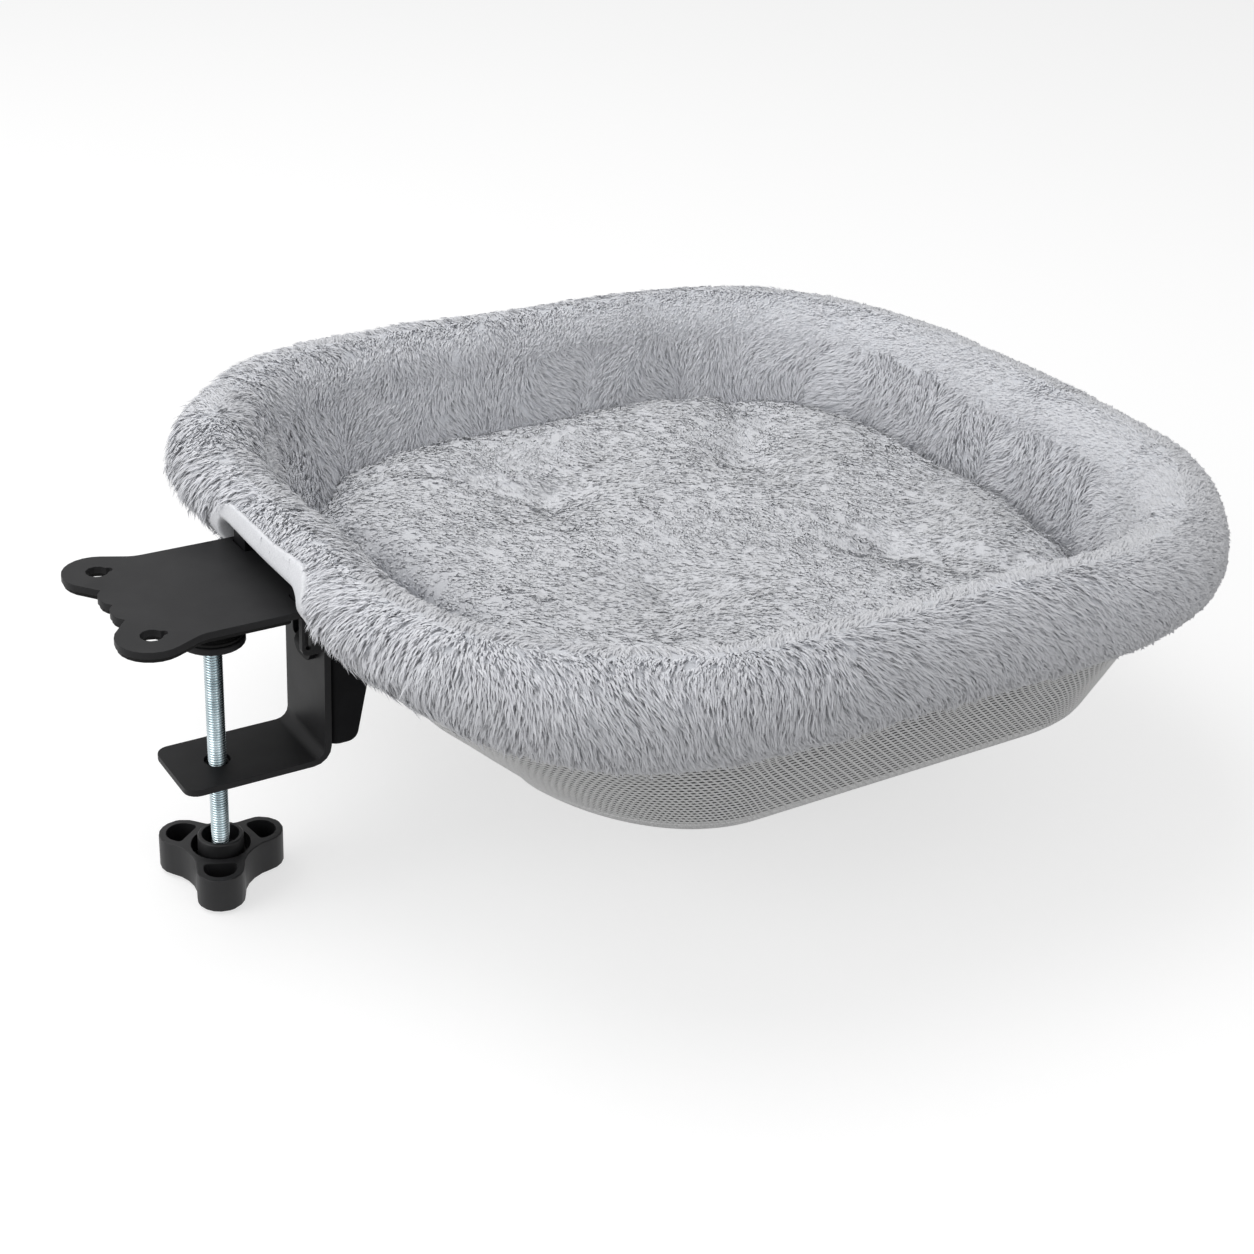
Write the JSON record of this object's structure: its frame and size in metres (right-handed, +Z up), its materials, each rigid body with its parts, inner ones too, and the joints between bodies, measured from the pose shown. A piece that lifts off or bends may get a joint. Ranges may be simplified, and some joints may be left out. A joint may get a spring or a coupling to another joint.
{
  "type": "clamp-on desk cat hammock",
  "caption": "Padded plush ring bed with a mesh tray, hooked on a steel C-clamp with a screw foot and a three-lobe knob, for a desk edge.",
  "frame": {"origin": "on the clamp screw's axis, at the underside of the desk pad, where the desk top's upper face lies", "axes": "+X from the desk towards the hammock, +Y along the desk edge, +Z up"},
  "size_m": [0.518, 0.413, 0.1671],
  "materials": {
    "powder_coat": "satin black powder coat",
    "bracket_coat": "satin black powder coat",
    "tube_steel": "black paint",
    "pad_rubber": "matt black",
    "zinc": "bright zinc plate",
    "knob_plastic": "satin black moulding",
    "foam": "open foam",
    "plush": "short tufted plush, light blue-grey",
    "mat_plush": "short plush, light grey",
    "mesh_fabric": "woven spacer mesh, light grey",
    "trim_fabric": "smooth knit binding"
  },
  "bodies": {
    "clamp": {"clamp_bracket": "powder_coat", "desk_pad": "pad_rubber", "edge_stop_near": "powder_coat", "edge_stop_far": "powder_coat", "thread_boss": "powder_coat"},
    "pressure_foot": {"pressure_pad": "pad_rubber", "pressure_disc": "powder_coat", "foot_retainer": "powder_coat"},
    "spindle": {"clamp_screw": "zinc", "knob": "knob_plastic", "knob_nut": "zinc"},
    "hammock": {"crossbar_tube": "tube_steel", "ring_tube_near": "tube_steel", "ring_tube_far": "tube_steel", "spigot_near": "zinc", "spigot_far": "zinc", "spigot_outer": "zinc", "joint_screw_near": "zinc", "joint_screw_far": "zinc", "joint_screw_outer_near": "zinc", "joint_screw_outer_far": "zinc", "support_bracket": "bracket_coat", "hanger_hook_near": "bracket_coat", "hanger_hook_far": "bracket_coat", "latch_tongue": "bracket_coat", "rim_cover": "plush", "rim_core": "foam", "opening_binding": "trim_fabric", "mesh_tray": "mesh_fabric", "seam_piping": "trim_fabric", "plush_liner": "plush", "plush_mat": "mat_plush"}
  },
  "joints": [
    {"name": "foot_travel", "type": "slide", "parent": "clamp", "child": "pressure_foot", "axis": [0, 0, 1], "range_m": [-0.0545, 0.0155]},
    {"name": "spindle_turn", "type": "hinge", "parent": "pressure_foot", "child": "spindle", "pos_m": [0, 0, -0.1218], "axis": [0, 0, 1], "range_deg": [-15700, 4470]},
    {"name": "hammock_lift", "type": "slide", "parent": "clamp", "child": "hammock", "axis": [0, 0, 1], "range_m": [0, 0.011]}
  ],
  "couplings": [
    {"joint": "spindle_turn", "follows": "foot_travel", "rad_per_m": 5026.5}
  ]
}
